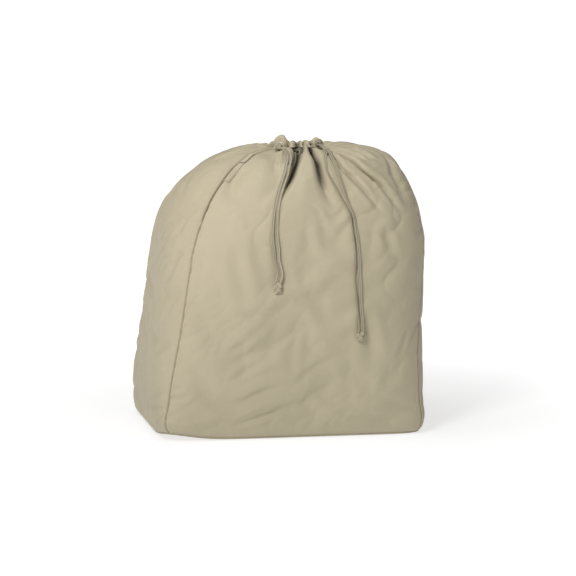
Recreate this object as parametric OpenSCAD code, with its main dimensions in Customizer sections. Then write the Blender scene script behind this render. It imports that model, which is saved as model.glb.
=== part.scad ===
// Drawstring storage bag, standing filled, with its mouth gathered.
// Front is -Y, up is +Z, origin at the bottom centre, millimetres.

/* [Bag] */
// Width of the filled bag, side to side
bag_w = 602; // [584:2:612]
// Depth of the filled bag, front to back
bag_d = 416; // [404:2:428]
// Height of the filled bag up to the gathered mouth
bag_h = 594; // [584:2:606]
// Thickness of the coated fabric with its seams
wall = 2; // [1.5:0.25:2.5]

/* [Mouth] */
// Outer radius of the gathered drawcord casing
casing_r = 56; // [55:0.5:57]
// Width of the channel from its outer to its inner face
casing_w = 20; // [19:0.5:20]
// Height of the casing
casing_h = 20; // [20:0.5:22]
// Hole through each eyelet, radius
eyelet_r = 5.8; // [5.7:0.1:6]

/* [Cords] */
// Diameter of one cord strand
cord_d = 5; // [4:0.25:5]
// Radius of the end knots
knot_r = 9.5; // [8:0.5:10]

/* [Label and trim] */
// Width of the woven label
label_w = 14; // [10:1:16]
// Width of the seam allowance that is bound inside the corners
binding_w = 11; // [8:1:12]

/* [Hidden] */
$fn = 64;
fabric = [0.76, 0.72, 0.62];
fabric_side = [0.72, 0.68, 0.58];
binding_c = [0.62, 0.58, 0.49];
cord_c = [0.70, 0.66, 0.56];
metal_c = [0.80, 0.79, 0.75];
label_c = [0.82, 0.79, 0.70];
thread_c = [0.55, 0.51, 0.42];

// Control rows of the filled shape, bottom to mouth:
// height, half width, half depth, squareness, centre in X, corner angle
ROWS = [
  [2, 276, 192, 14, -8, 55], [12, 286, 199, 13, -8, 55],
  [35, 291, 203, 11, -8, 55], [75, 292, 205, 8, -9, 54.8],
  [130, 291, 207, 6, -7, 54.6], [190, 291, 208, 4.7, -3, 54.5],
  [250, 290, 208, 4, 2, 54.5], [310, 289, 207, 3.6, 7, 54.7],
  [365, 288, 204, 3.4, 12, 55], [410, 285, 198, 3.2, 15, 55.3],
  [450, 279, 190, 2.9, 18, 55.6], [485, 268, 180, 2.7, 21, 56],
  [515, 250, 167, 2.6, 25, 56.5], [542, 228, 152, 2.5, 31, 57.5],
  [565, 205, 136, 2.4, 37, 58.5], [581, 178, 118, 2.3, 41, 60],
  [590, 148, 98, 2.2, 39, 62], [595, 110, 80, 2.1, 36, 64],
  [596, 82, 70, 2, 34, 66], [594, casing_r + 1, casing_r + 1, 2, 32, 66],
  [594, casing_r - 8, casing_r - 8, 2, 32, 66]];
N = len(ROWS);
mouth_x = 32;
z0 = bag_h;
cord_r = cord_d / 2;
// Direction of each cord exit, degrees from the front
exit_l = -48;
exit_r = 46;
seam_deg = 66;
pivot_r = casing_r + 6;

function clamp(v) = min(max(v, 0), 1);
function kz(z) = 2 + (z - 2) * (bag_h - 2) / 592;
function row(i) = let (q = ROWS[i], m = clamp((q[0] - 540) / 50),
    kx = bag_w / 602 * (1 - m) + m, ky = bag_d / 416 * (1 - m) + m)
  [q[0], q[1] * kx, q[2] * ky, q[3], q[4], q[5]];
function rowt(t) = let (i = min(max(floor(t), 0), N - 2), f = t - i,
    a = row(max(i - 1, 0)), b = row(i), c = row(i + 1), d = row(min(i + 2, N - 1)))
  0.5 * (2 * b + (c - a) * f + (2 * a - 5 * b + 4 * c - d) * f * f
    + (3 * b - a - 3 * c + d) * f * f * f);
function turn(z, s, h) = let (w = clamp((z - 380) / 200))
  (1 - w) * atan(s * tan(h)) + w * s * h;
// Panels: 0 front, 1 right, 2 back, 3 left; s runs from -1 to 1 across each
function polar(R, p, s) = -90 + 90 * p
  + turn(R[0], s, p % 2 == 0 ? R[5] : 90 - R[5]);
function rad(a, A, B, n) =
  1 / pow(pow(abs(cos(a)) / A, n) + pow(abs(sin(a)) / B, n), 1 / n);
function pt(R, p, s) = let (a = polar(R, p, s), r = rad(a, R[1], R[2], R[3]))
  [R[4] + r * cos(a), r * sin(a), kz(R[0])];
function slope(i) = row(min(i + 1, N - 1)) - row(max(i - 1, 0));
function inner(i, p, s) = let (R = row(i), S = slope(i),
    lx = norm([S[1], S[0]]), ly = norm([S[2], S[0]]),
    a = polar(R, p, s), f = i == 0 ? 0 : 1,
    A = R[1] - wall * (i == 0 ? 1 : S[0] / lx),
    B = R[2] - wall * (i == 0 ? 1 : S[0] / ly),
    r = rad(a, A, B, R[3]))
  [R[4] + r * cos(a), r * sin(a),
   kz(R[0]) + f * wall * (S[1] / lx * pow(cos(a), 2) + S[2] / ly * pow(sin(a), 2))];
// Point on the front, off millimetres proud of the cloth
function unit(v) = v / norm(v);
function on_front(t, s, off) = let (R = rowt(t), P = pt(R, 0, s),
    u = pt(R, 0, s + 0.01) - pt(R, 0, s - 0.01),
    v = pt(rowt(t + 0.05), 0, s) - pt(rowt(t - 0.05), 0, s))
  P + off * unit(cross(u, v));

// Closed sheet from two grids of points, the outer one seen from outside
module sheet(O, I) {
  n = len(O); m = len(O[0]); k = n * m;
  function o(i, j) = i * m + j;
  function q(i, j) = k + i * m + j;
  pts = concat([for (r = O) for (c = r) c], [for (r = I) for (c = r) c]);
  polyhedron(points = pts, faces = concat(
    [for (i = [0 : n - 2], j = [0 : m - 2]) for (f = [
      [o(i, j), o(i + 1, j), o(i + 1, j + 1)], [o(i, j), o(i + 1, j + 1), o(i, j + 1)],
      [q(i, j), q(i + 1, j + 1), q(i + 1, j)], [q(i, j), q(i, j + 1), q(i + 1, j + 1)]]) f],
    [for (j = [0 : m - 2]) for (f = [
      [o(0, j), o(0, j + 1), q(0, j + 1)], [o(0, j), q(0, j + 1), q(0, j)],
      [o(n - 1, j + 1), o(n - 1, j), q(n - 1, j)],
      [o(n - 1, j + 1), q(n - 1, j), q(n - 1, j + 1)]]) f],
    [for (i = [0 : n - 2]) for (f = [
      [o(i + 1, 0), o(i, 0), q(i + 1, 0)], [o(i, 0), q(i, 0), q(i + 1, 0)],
      [o(i, m - 1), o(i + 1, m - 1), q(i + 1, m - 1)],
      [o(i, m - 1), q(i + 1, m - 1), q(i, m - 1)]]) f]));
}
cols = [for (k = [-6 : 6]) abs(k) == 6 ? sign(k) : sin(15 * k)];
module panel(p) sheet([for (i = [0 : N - 1]) [for (s = cols) pt(row(i), p, s)]],
  [for (i = [0 : N - 1]) [for (s = cols) inner(i, p, s)]]);
// Sewn allowance inside a corner: a thin fin along the inner seam line
module corner_binding(p, s) {
  rows = [for (i = [2 : 15]) let (Q = inner(i, p, s),
      u = unit([row(i)[4] - Q[0], -Q[1], 0]), v = [-u[1], u[0], 0])
    [Q, Q + 3 * u + 1.4 * v, Q + binding_w * u + 1.4 * v,
     Q + binding_w * u - 1.4 * v, Q + 3 * u - 1.4 * v]];
  n = len(rows);
  polyhedron(points = [for (r = rows) for (c = r) c], faces = concat(
    [[0, 1, 2, 3, 4], [for (k = [4 : -1 : 0]) (n - 1) * 5 + k]],
    [for (i = [0 : n - 2], k = [0 : 4]) for (f = [
      [i * 5 + k, (i + 1) * 5 + (k + 1) % 5, i * 5 + (k + 1) % 5],
      [i * 5 + k, (i + 1) * 5 + k, (i + 1) * 5 + (k + 1) % 5]]) f]));
}
function outline(inset) = let (q = row(0))
  [for (p = [0 : 3]) for (k = [0 : 11]) let (a = polar(q, p, cols[k]),
    r = rad(a, q[1] - inset, q[2] - inset, q[3])) [q[4] + r * cos(a), r * sin(a)]];

// Local frame at a cord exit: X outwards, Y along the casing
module at_exit(a) translate([mouth_x, 0, z0 + 10]) rotate([0, 0, a - 90]) children();
module casing_ring() translate([mouth_x, 0, z0]) children();
module casing_profile() difference() {
  translate([casing_r - casing_w, 0]) square([casing_w, casing_h]);
  translate([casing_r - casing_w + 2, 2]) square([casing_w - 4, casing_h - 4]);
}
module drawcord_loop(h) color(cord_c) translate([mouth_x, 0, z0 + h])
  rotate_extrude($fn = 96) translate([casing_r - 10, 0]) circle(r = cord_r, $fn = 24);
module eyelet(a) color(metal_c) at_exit(a) rotate([0, 90, 0]) rotate_extrude($fn = 64)
  polygon([[eyelet_r, casing_r - 4.4], [7, casing_r - 4.4], [7, casing_r],
    [8.5, casing_r], [8.5, casing_r + 0.8], [8, casing_r + 1.4],
    [6.6, casing_r + 1.4], [eyelet_r, casing_r + 0.8]]);
module eyelet_washer(a) color(metal_c) at_exit(a) rotate([0, 90, 0])
  translate([0, 0, casing_r - 4.2]) difference() {
    cylinder(r = 7.9, h = 1.2);
    translate([0, 0, -1]) cylinder(r = 7, h = 4);
  }
module cord_stub(a) color(cord_c) at_exit(a) for (s = [-1, 1])
  translate([0, s * (cord_r + 0.1), 0]) rotate([0, 90, 0]) {
    translate([0, 0, casing_r - 6.4]) cylinder(r = cord_r, h = 10.2, $fn = 24);
    translate([0, 0, casing_r + 3.8]) cylinder(r1 = cord_r, r2 = 1.3, h = 1.2, $fn = 24);
  }

// Cord tails. Each route: row position, place across the front, height
// above the cloth, half gap between the two strands
LEFT_ROUTE = [
  [17, -0.44, 3.6, 2.7], [16.2, -0.38, 3.6, 2.7], [15.4, -0.36, 3.6, 2.7],
  [14.6, -0.35, 3.6, 2.7], [13.6, -0.32, 3.6, 2.7], [12.5, -0.31, 3.6, 2.7],
  [11.5, -0.3, 3.6, 2.7], [10.5, -0.28, 3.6, 3], [9.5, -0.25, 3.6, 3.6],
  [8.9, -0.22, 3.6, 3.4], [8.4, -0.2, 3.6, 2.7], [7.8, -0.17, 4.5, 2.7],
  [7.5, -0.18, 8, 2.7], [7.35, -0.18, 9.5, 2.7]];
RIGHT_ROUTE = [
  [17, 0.54, 3.6, 2.7], [16.2, 0.44, 3.6, 3], [15.4, 0.34, 3.6, 5],
  [14.6, 0.32, 3.6, 8], [13.7, 0.33, 3.6, 10], [12.7, 0.37, 3.6, 7],
  [11.7, 0.41, 3.6, 4], [10.7, 0.44, 3.6, 2.7], [9.7, 0.43, 3.6, 2.7],
  [8.6, 0.41, 3.6, 2.7], [7.5, 0.41, 3.6, 3.6], [6.8, 0.43, 3.6, 3],
  [6.1, 0.45, 4.5, 2.7], [5.75, 0.46, 8, 2.7], [5.6, 0.46, 9.5, 2.7]];
LEFT_START = [[-15.5, -52, 8.5], [-10.5, -66, 6.5]];
RIGHT_START = [[80, -52, 8.5], [81, -64, 6.5]];
LEFT_KNOT = [7.3, -0.18];
RIGHT_KNOT = [5.5, 0.46];

function pivot(a, side) = [mouth_x + pivot_r * sin(a) - side * (cord_r + 0.1) * -cos(a),
  -pivot_r * cos(a) + side * (cord_r + 0.1) * sin(a), z0 + 10];
function control(a, start, route, side) = concat([pivot(a, side)],
  [for (p = start) [p[0] + side * 2.7, p[1], z0 + p[2]]],
  [for (r = route) on_front(r[0], r[1], r[2]) + [side * r[3], 0, 0]]);
function spline(P, n) = concat([for (i = [0 : len(P) - 2], k = [0 : n - 1])
    let (a = P[max(i - 1, 0)], b = P[i], c = P[i + 1], d = P[min(i + 2, len(P) - 1)], f = k / n)
    0.5 * (2 * b + (c - a) * f + (2 * a - 5 * b + 4 * c - d) * f * f
      + (3 * b - a - 3 * c + d) * f * f * f)], [P[len(P) - 1]]);
module tube(P, r) {
  n = len(P); m = 8;
  T = [for (i = [0 : n - 1]) unit(P[min(i + 1, n - 1)] - P[max(i - 1, 0)])];
  pts = [for (i = [0 : n - 1]) let (x = [1, 0, 0], u = unit(x - (x * T[i]) * T[i]),
      v = cross(T[i], u)) for (k = [0 : m - 1])
    P[i] + (i == 0 ? 1.3 : r) * (cos(k * 360 / m) * u + sin(k * 360 / m) * v)];
  polyhedron(points = pts, faces = concat(
    [[for (k = [0 : m - 1]) k], [for (k = [m - 1 : -1 : 0]) (n - 1) * m + k]],
    [for (i = [0 : n - 2], k = [0 : m - 1]) for (f = [
      [i * m + k, (i + 1) * m + k, (i + 1) * m + (k + 1) % m],
      [i * m + k, (i + 1) * m + (k + 1) % m, i * m + (k + 1) % m]]) f]));
}
module strand(a, start, route, side) color(cord_c) {
  S = spline(control(a, start, route, side), 2);
  P = concat([S[0], S[0] + 1.2 * unit(S[1] - S[0])], [for (i = [1 : len(S) - 1]) S[i]]);
  tube(P, cord_r);
}
module knot(k) color(cord_c) translate(on_front(k[0], k[1], knot_r + 0.9))
  rotate_extrude($fn = 48) polygon(concat([[0, -11]],
    [for (a = [-75 : 15 : 75]) [knot_r * cos(a), 11 * sin(a)]], [[0, 11]]));

module front_panel() color(fabric) panel(0);
module right_side_panel() color(fabric_side) panel(1);
module back_panel() color(fabric) panel(2);
module left_side_panel() color(fabric_side) panel(3);
module bottom_panel() color(fabric) linear_extrude(2) polygon(outline(0));
module bottom_seam_binding() color(binding_c) translate([0, 0, 2]) linear_extrude(2)
  difference() { polygon(outline(wall + 1)); polygon(outline(wall + 9)); }
module front_left_seam_binding() color(binding_c) corner_binding(0, -1);
module front_right_seam_binding() color(binding_c) corner_binding(0, 1);
module back_left_seam_binding() color(binding_c) corner_binding(2, 1);
module back_right_seam_binding() color(binding_c) corner_binding(2, -1);
module front_casing() color(fabric) difference() {
  casing_ring() rotate([0, 0, -90 - seam_deg])
    rotate_extrude(angle = 2 * seam_deg, $fn = 128) casing_profile();
  for (a = [exit_l, exit_r]) at_exit(a) translate([casing_r - 8, 0, 0])
    rotate([0, 90, 0]) cylinder(r = 7.3, h = 16);
}
module back_casing() color(fabric) casing_ring() rotate([0, 0, -90 + seam_deg])
  rotate_extrude(angle = 360 - 2 * seam_deg, $fn = 128) casing_profile();
module left_drawcord_loop() drawcord_loop(6);
module right_drawcord_loop() drawcord_loop(14);
module left_eyelet() eyelet(exit_l);
module right_eyelet() eyelet(exit_r);
module left_eyelet_washer() eyelet_washer(exit_l);
module right_eyelet_washer() eyelet_washer(exit_r);
module left_cord_stub() cord_stub(exit_l);
module right_cord_stub() cord_stub(exit_r);
module left_tail_strand_a() strand(exit_l, LEFT_START, LEFT_ROUTE, -1);
module left_tail_strand_b() strand(exit_l, LEFT_START, LEFT_ROUTE, 1);
module right_tail_strand_a() strand(exit_r, RIGHT_START, RIGHT_ROUTE, -1);
module right_tail_strand_b() strand(exit_r, RIGHT_START, RIGHT_ROUTE, 1);
module left_knot() knot(LEFT_KNOT);
module right_knot() knot(RIGHT_KNOT);
// Facing band beside the front left seam, from the bar tack up to the mouth
function facing_pt(i, k, off) = let (a = pt(row(i), 0, cols[0]), b = pt(row(i), 0, cols[1]),
    c = pt(row(i), 0, cols[2]), w = 14, l = norm(b - a),
    e = w > l ? b + (c - b) * (w - l) / norm(c - b) : a + (b - a) * w / l,
    n = on_front(i, -0.97, 1) - on_front(i, -0.97, 0))
  (k == 0 ? a + (b - a) * 0.1 : e) + off * n;
module slit_facing() color(fabric) sheet(
  [for (i = [13 : 17]) [for (k = [0, 1]) facing_pt(i, k, 1.6)]],
  [for (i = [13 : 17]) [for (k = [0, 1]) facing_pt(i, k, 0.6)]]);
module patch(ts, s0, w, lo, hi) {
  function e(t, k, off) = let (a = on_front(t, s0, off), b = on_front(t, s0 + 0.1, off))
    a + (k == 0 ? [0, 0, 0] : (b - a) * w / norm(b - a));
  sheet([for (t = ts) [for (k = [0, 1]) e(t, k, hi)]],
        [for (t = ts) [for (k = [0, 1]) e(t, k, lo)]]);
}
module bar_tack() color(thread_c) patch([13.02, 13.16], -0.98, 13, 2, 3);
module woven_label() color(label_c)
  patch([14.6, 14.95, 15.3, 15.65, 16], -0.975, label_w, 2.6, 3.3);

front_panel();
back_panel();
left_side_panel();
right_side_panel();
bottom_panel();
bottom_seam_binding();
front_left_seam_binding();
front_right_seam_binding();
back_left_seam_binding();
back_right_seam_binding();
front_casing();
back_casing();
left_drawcord_loop();
right_drawcord_loop();
left_eyelet();
right_eyelet();
left_eyelet_washer();
right_eyelet_washer();
left_cord_stub();
right_cord_stub();
left_tail_strand_a();
left_tail_strand_b();
right_tail_strand_a();
right_tail_strand_b();
left_knot();
right_knot();
slit_facing();
bar_tack();
woven_label();
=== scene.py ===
import bpy, math
import numpy as np
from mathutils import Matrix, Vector


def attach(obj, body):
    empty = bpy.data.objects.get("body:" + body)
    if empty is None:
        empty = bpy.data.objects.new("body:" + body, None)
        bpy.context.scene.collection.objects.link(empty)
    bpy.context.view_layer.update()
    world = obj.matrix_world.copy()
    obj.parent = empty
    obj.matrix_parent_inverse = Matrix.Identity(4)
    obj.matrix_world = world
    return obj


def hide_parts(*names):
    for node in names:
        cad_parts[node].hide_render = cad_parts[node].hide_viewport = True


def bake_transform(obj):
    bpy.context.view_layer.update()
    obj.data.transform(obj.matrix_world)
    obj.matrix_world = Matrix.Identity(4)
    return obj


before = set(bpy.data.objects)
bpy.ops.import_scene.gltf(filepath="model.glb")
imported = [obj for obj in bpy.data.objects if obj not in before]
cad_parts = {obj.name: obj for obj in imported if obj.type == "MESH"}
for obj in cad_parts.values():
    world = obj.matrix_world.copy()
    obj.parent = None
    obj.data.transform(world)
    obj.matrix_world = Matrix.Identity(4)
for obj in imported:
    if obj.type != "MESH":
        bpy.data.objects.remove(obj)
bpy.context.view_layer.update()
MM = 0.001
rng = np.random.default_rng(11)

# ------------------------------------------------------------------ camera
# Long lens, from a little left of the front and slightly above.
AZ, EL = math.radians(-10.0), math.radians(9.5)
BACK = Vector((math.sin(AZ) * math.cos(EL), -math.cos(AZ) * math.cos(EL), math.sin(EL)))
RIGHT = Vector((math.cos(AZ), math.sin(AZ), 0.0))
UP = BACK.cross(RIGHT)
FRAME_W = 576 * 2.15 * MM
LENS = 420.0
DIST = FRAME_W / 2 / (18.0 / LENS)
AIM = RIGHT * ((288 - 281.2) * 2.15 * MM) + UP * ((421 - 288) * 2.15 * MM)
cam_data = bpy.data.cameras.new("camera")
cam_data.lens = LENS
cam_data.sensor_width = 36.0
cam_data.clip_start, cam_data.clip_end = 0.1, 200.0
cam = bpy.data.objects.new("camera", cam_data)
bpy.context.scene.collection.objects.link(cam)
cam.location = AIM + BACK * DIST
cam.rotation_mode = "QUATERNION"
cam.rotation_quaternion = (-BACK).to_track_quat("-Z", "Y")
bpy.context.scene.camera = cam

# ------------------------------------------------------- the filled shape
# height, half width, half depth, squareness, centre in X, corner angle (mm)
ROWS = np.array([
    [2, 276, 192, 14, -8, 55], [12, 286, 199, 13, -8, 55],
    [35, 291, 203, 11, -8, 55], [75, 292, 205, 8, -9, 54.8],
    [130, 291, 207, 6, -7, 54.6], [190, 291, 208, 4.7, -3, 54.5],
    [250, 290, 208, 4, 2, 54.5], [310, 289, 207, 3.6, 7, 54.7],
    [365, 288, 204, 3.4, 12, 55], [410, 285, 198, 3.2, 15, 55.3],
    [450, 279, 190, 2.9, 18, 55.6], [485, 268, 180, 2.7, 21, 56],
    [515, 250, 167, 2.6, 25, 56.5], [542, 228, 152, 2.5, 31, 57.5],
    [565, 205, 136, 2.4, 37, 58.5], [581, 178, 118, 2.3, 41, 60],
    [590, 148, 98, 2.2, 39, 62], [595, 110, 80, 2.1, 36, 64],
    [596, 82, 70, 2.0, 34, 66], [594, 57, 57, 2.0, 32, 66],
    [594, 48, 48, 2.0, 32, 66]], float)
NR = len(ROWS)
MOUTH_X, Z0 = 32.0, 594.0


def smooth(a, b, x):
    u = np.clip((np.asarray(x, float) - a) / (b - a), 0, 1)
    return u * u * (3 - 2 * u)


def rowt(t):
    t = np.asarray(t, float)
    i = np.clip(np.floor(t).astype(int), 0, NR - 2)
    f = (t - i)[..., None]
    a, b = ROWS[np.maximum(i - 1, 0)], ROWS[i]
    c, d = ROWS[i + 1], ROWS[np.minimum(i + 2, NR - 1)]
    return 0.5 * (2 * b + (c - a) * f + (2 * a - 5 * b + 4 * c - d) * f * f
                  + (3 * b - a - 3 * c + d) * f ** 3)


def base(t, phi):
    """Point in mm at row position t and direction phi, degrees from the front towards +X."""
    t, phi = np.broadcast_arrays(np.asarray(t, float), np.asarray(phi, float))
    r = rowt(t)
    a = np.radians(phi - 90)
    c, s = np.cos(a), np.sin(a)
    rad = 1 / ((np.abs(c) / r[..., 1]) ** r[..., 3] + (np.abs(s) / r[..., 2]) ** r[..., 3]) ** (1 / r[..., 3])
    return np.stack([r[..., 4] + rad * c, rad * s, r[..., 0]], -1)


def unit(v):
    return v / np.maximum(np.linalg.norm(v, axis=-1, keepdims=True), 1e-9)


def base_normal(t, phi):
    u = base(t, np.asarray(phi) + 0.4) - base(t, np.asarray(phi) - 0.4)
    v = base(np.asarray(t) + 0.05, phi) - base(np.maximum(np.asarray(t) - 0.05, 0), phi)
    return unit(np.cross(u, v))


def phi_of(t, panel, s):
    """Direction of the point s (-1 to 1) across panel 0 front, 1 right, 2 back, 3 left."""
    r = rowt(t)
    h = r[..., 5] if panel % 2 == 0 else 90 - r[..., 5]
    w = np.clip((r[..., 0] - 380) / 200, 0, 1)
    return 90 * panel + (1 - w) * np.degrees(np.arctan(s * np.tan(np.radians(h)))) + w * s * h


def phi_sewn(t, panel, s):
    """As phi_of, with the right front seam turned towards the right side, as the filled bag has twisted it."""
    t = np.asarray(t, float)
    z = rowt(t)[..., 0]
    sh = np.interp(z, [0, 40, 150, 300, 450, 560, 600], [0.5, 1.0, 3.5, 9.5, 13.0, 15.0, 15.0])
    sh = sh * (1 - 0.35 * smooth(17.5, 19.3, t))
    out = phi_of(t, panel, s)
    if panel == 0:
        out = out + sh * ((np.asarray(s) + 1) / 2) ** 2
    elif panel == 1:
        out = out + sh * ((1 - np.asarray(s)) / 2) ** 2
    return out


def spline(P, n):
    P = np.asarray(P, float)
    out = []
    for i in range(len(P) - 1):
        a, b, c, d = P[max(i - 1, 0)], P[i], P[i + 1], P[min(i + 2, len(P) - 1)]
        for k in range(n):
            f = k / n
            out.append(0.5 * (2 * b + (c - a) * f + (2 * a - 5 * b + 4 * c - d) * f * f
                              + (3 * b - a - 3 * c + d) * f ** 3))
    out.append(P[-1])
    return np.array(out)


# -------------------------------------------------------------- noise
_perm = np.random.default_rng(5).permutation(256)
_grad = unit(np.random.default_rng(6).normal(size=(256, 3)))


def noise(p):
    """Gradient noise, about -1 to 1, for points (..., 3) in lattice units."""
    p = np.asarray(p, float)
    i = np.floor(p).astype(int)
    f = p - i
    u = f * f * f * (f * (f * 6 - 15) + 10)
    out = np.zeros(p.shape[:-1])
    for dx in (0, 1):
        for dy in (0, 1):
            for dz in (0, 1):
                h = _perm[(_perm[(_perm[(i[..., 0] + dx) & 255] + i[..., 1] + dy) & 255] + i[..., 2] + dz) & 255]
                g = _grad[h]
                w = ((u[..., 0] if dx else 1 - u[..., 0]) * (u[..., 1] if dy else 1 - u[..., 1])
                     * (u[..., 2] if dz else 1 - u[..., 2]))
                out += w * (g * (f - np.array([dx, dy, dz]))).sum(-1)
    return out * 1.6


# -------------------------------------------------------------- folds
# Each fold: path of (row position, direction), depth in mm (negative is a
# raised roll), width at its start and end, fade in and out as shares of its
# length, ridge heights at its left and right as shares of depth, and lean:
# how far the ridge rolls over the valley, mm.
FOLDS = []


def fold(path, depth, w0, w1=None, fin=0.15, fout=0.4, rl=0.35, rr=0.35, lean=0.0):
    FOLDS.append(dict(path=path, depth=depth, w0=w0, w1=w1 or w0, fin=fin, fout=fout, rl=rl, rr=rr, lean=lean))


# the deep pleats each side of the middle cone
fold([(19.3, 22), (18, 17), (16.5, 12), (15.8, 10.3), (14.3, 10.2), (13.5, 11.3), (12.7, 13.3), (11.9, 16), (11, 18)],
     24, 9.5, 12, 0.02, 0.62, 0.22, 0.12, 10)
fold([(15, 11.5), (13.5, 14), (12.2, 18), (11, 21)], 4, 9, 15, 0.3, 0.6, 0.0, 0.15)
fold([(19.3, -8), (17.5, -11), (15.9, -14), (14.6, -16), (13.3, -16), (12.3, -16.8), (11.5, -18)],
     24, 10.5, 6, 0.02, 0.5, 0.10, 0.25, -10)
fold([(19.3, -1), (17.6, -2.5), (16.4, -4), (15.7, -5)], 12, 4.5, 4.5, 0.02, 0.6, 0.2, 0.2)
fold([(19.45, -6.5), (18.7, -9.5), (18.0, -11.5), (17.3, -12.5)], 15, 9.5, 5.5, 0.02, 0.55, 0.1, 0.05)
fold([(18.8, 6), (16.5, 0), (14.7, -3), (12.9, -2.5), (11.4, -1.5), (10.0, -2)], -9, 17, 34, 0.05, 0.6, 0, 0)
# right-hand creases from the right exit
fold([(19.3, 52), (17.7, 51.5), (16.8, 51.3), (15.9, 50.5), (15.2, 52), (14.1, 55)], 8, 5, 8, 0.02, 0.5, 0.35, 0.25, 2)
fold([(19.3, 45), (16.9, 43), (15.6, 41), (14.9, 42), (14, 44.5), (13.2, 49), (12.6, 52), (11.8, 53.7), (11, 55.5), (10.2, 58)],
     9.5, 5, 9, 0.02, 0.35, 0.35, 0.2, 4)
fold([(14.4, 43.5), (13.8, 45.5), (13.2, 49), (12.6, 52)], 6, 3.6, 5, 0.3, 0.5, 0.4, 0.2, 3)
fold([(19.3, 36), (16, 29.7), (15, 28.5), (14.2, 29.9), (13.3, 35), (12.4, 39.5), (11.4, 43.5), (10.3, 47)],
     8, 5.5, 8, 0.02, 0.35, 0.35, 0.25, 3)
fold([(19.3, 68), (16.9, 71), (16.1, 66), (15.1, 59), (14.1, 57)], 7, 5, 8, 0.02, 0.4)
fold([(15.8, 82), (14.8, 76.5), (13.8, 69), (13, 65), (12.1, 63.5), (11.3, 62.5), (10.4, 63)], 4.4, 8, 12, 0.3, 0.45)
fold([(14.3, 90), (13.5, 85), (12.5, 78), (11.6, 74), (10.6, 71.5)], 3.4, 9, 13, 0.3, 0.5)
fold([(13.9, 34.5), (13.45, 36.8), (13.3, 40.5)], 3.5, 4, 5, 0.4, 0.5)
# the sharp lines along the two longest of them
fold([(15.4, 41.2), (14.9, 42), (14, 44.5), (13.2, 49), (12.6, 52), (11.8, 53.7), (11, 55.5)], 2.3, 3.0, 3.4, 0.15, 0.45, 0.3, 0)
fold([(15.4, 29.0), (15, 28.5), (14.2, 29.9), (13.3, 35), (12.4, 39.5), (11.4, 43.5), (10.6, 46)], 2.3, 3.0, 3.4, 0.15, 0.45, 0.3, 0)
fold([(9.3, 38), (9.7, 42), (10.05, 47), (10.1, 54)], -4.5, 13, 12, 0.4, 0.4, 0, 0)
fold([(9.9, 44), (9.0, 46), (8.3, 45)], 3.6, 9, 13, 0.4, 0.5)
# left part of the front
fold([(14.6, -49), (13.9, -51.3), (13.3, -52.3), (12.5, -50), (11.8, -47), (11.2, -42)], 6.0, 11, 16, 0.3, 0.5, 0.2, 0.2)
fold([(16.6, -54), (15, -44), (13.7, -38), (11.8, -32), (10, -30)], -6, 20, 32, 0.2, 0.6, 0, 0)
fold([(19.4, -60), (18.6, -60), (17.9, -59), (17.2, -58)], 9, 3.6, 4, 0.02, 0.5, 0.2, 0.2, -3)
fold([(19.3, -24), (17, -21.5), (15.8, -21.2), (15.0, -22.2), (14.5, -23.5)], 12, 4.6, 5, 0.02, 0.2, 0.35, 0.0, -4)
fold([(18.6, -33), (16.4, -31), (15.5, -29), (14.7, -27.5), (14.2, -26), (14.0, -23.5)], -6.5, 5, 6, 0.1, 0.2, 0, 0)
fold([(16.0, -36), (15.2, -34), (14.4, -31.5), (13.8, -28.5), (13.6, -25)], 3.6, 5, 6, 0.3, 0.4, 0.2, 0)
fold([(19.3, -40), (17.6, -44), (16, -47), (14.8, -49)], 3, 5, 9, 0.02, 0.6, 0.2, 0.2)
# short puckers along the front left seam
for path, d, w in (
        ([(8.8, -56), (8.7, -53), (8.45, -49.5)], 3.2, 4.2), ([(10, -56.2), (9.75, -52)], 1.9, 4),
        ([(8.05, -56), (7.75, -51.5)], 2.0, 4.5), ([(6.72, -55.5), (6.6, -52.5), (6.4, -48.5)], 1.9, 5),
        ([(6.2, -55), (6.28, -50)], 1.7, 5), ([(3.7, -54), (3.76, -49)], 2.4, 4),
        ([(3.35, -54.5), (3.4, -50), (3.62, -46)], 3.4, 3.8), ([(5.1, -55), (5.0, -50.5)], 1.6, 5),
        ([(11.2, -57), (10.9, -53)], 1.8, 5), ([(4.5, -55), (4.6, -51)], 1.3, 4)):
    fold(path, d * 0.95, w * 1.15, w * 2.0, 0.02, 0.8, 0.5, 0.5)
# broad soft diagonals on the lower front
fold([(1.75, -36), (2.2, -27), (2.6, -16), (2.95, -4), (3.2, 12)], 4.4, 6, 9, 0.3, 0.6, 0.3, 0.5)
fold([(2.2, -33), (2.65, -24), (3.0, -13), (3.3, 0)], 2.8, 4.5, 6, 0.3, 0.6, 0.3, 0.5)
fold([(3.15, -32), (3.5, -22), (3.85, -6), (4.1, 8)], 3.0, 5, 8, 0.3, 0.6, 0.3, 0.5)
fold([(3.9, -36), (4.4, -27), (4.8, -17), (5.0, -8)], 3.2, 6, 10, 0.3, 0.6, 0.3, 0.5)
fold([(4.8, -37), (5.9, -22), (6.4, -13)], 2.9, 7, 11, 0.3, 0.6, 0.3, 0.5)
fold([(2.7, -37), (3.25, -26), (3.6, -12), (3.8, 2)], 3.4, 11, 18, 0.35, 0.6, 0.2, 0.4)
fold([(4.2, -41), (4.45, -37.5), (4.8, -30), (5.25, -19), (5.6, -12), (6.4, -6)], 5.2, 17, 26, 0.4, 0.55, 0.2, 0.3)
fold([(3.4, -39), (4, -30), (4.3, -22.5), (4.4, -5), (4.6, 13)], 4.4, 15, 24, 0.35, 0.6, 0.2, 0.3)
fold([(6.6, 35), (5.7, 36.5), (5.1, 38), (4.2, 38.5)], 5.5, 12, 18, 0.3, 0.5)
fold([(6.7, -6), (6.85, 3), (6.95, 12), (7.2, 22), (7.6, 29)], 3.6, 16, 24, 0.35, 0.5, 0.2, 0.2)
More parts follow.
